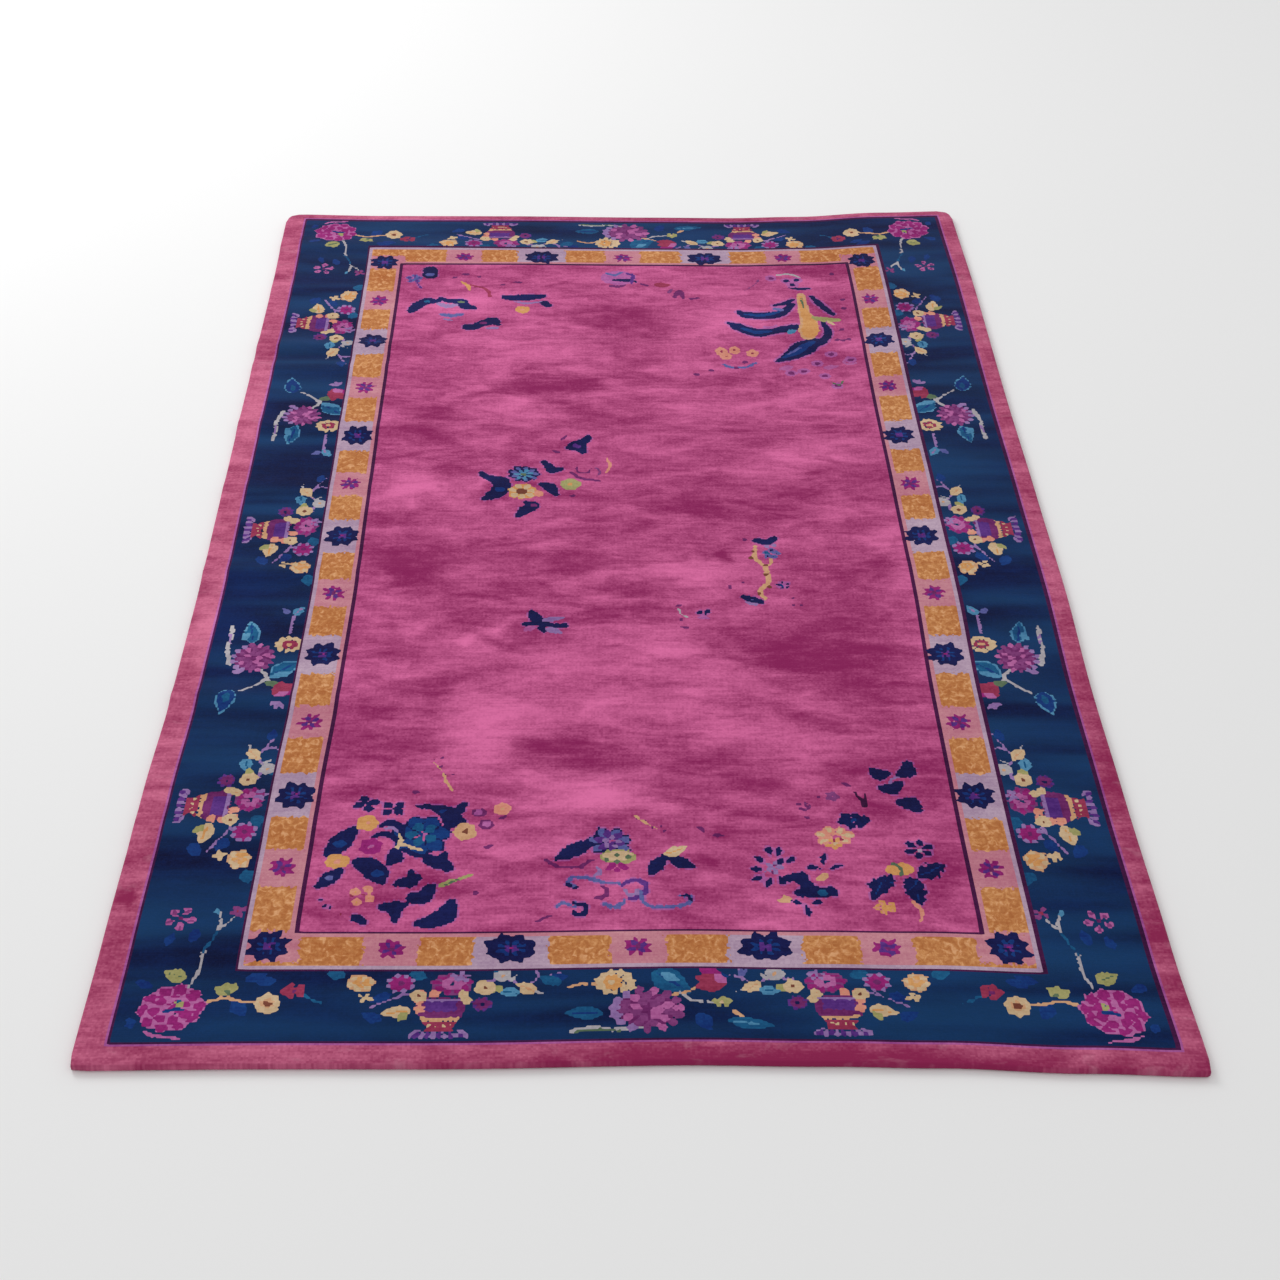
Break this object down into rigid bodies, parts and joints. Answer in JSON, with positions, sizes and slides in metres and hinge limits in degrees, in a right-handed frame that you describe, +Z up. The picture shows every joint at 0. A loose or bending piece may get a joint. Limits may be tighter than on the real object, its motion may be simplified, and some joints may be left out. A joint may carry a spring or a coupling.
{
  "type": "rug",
  "caption": "Rectangular hand-knotted wool rug with a flower border on dark blue, a gold inner band and a raspberry field; lies flat on a floor.",
  "frame": {"origin": "middle of the rug's footprint, on the floor under it", "axes": "+Z up from the floor, +Y along the rug towards the end with the rounder corners, +X across it"},
  "size_m": [1.551, 2.491, 0.0166],
  "materials": {
    "wool_pile": "cut wool pile with a soft sheen"
  },
  "bodies": {
    "root": {"rug": "wool_pile"}
  },
  "joints": []
}
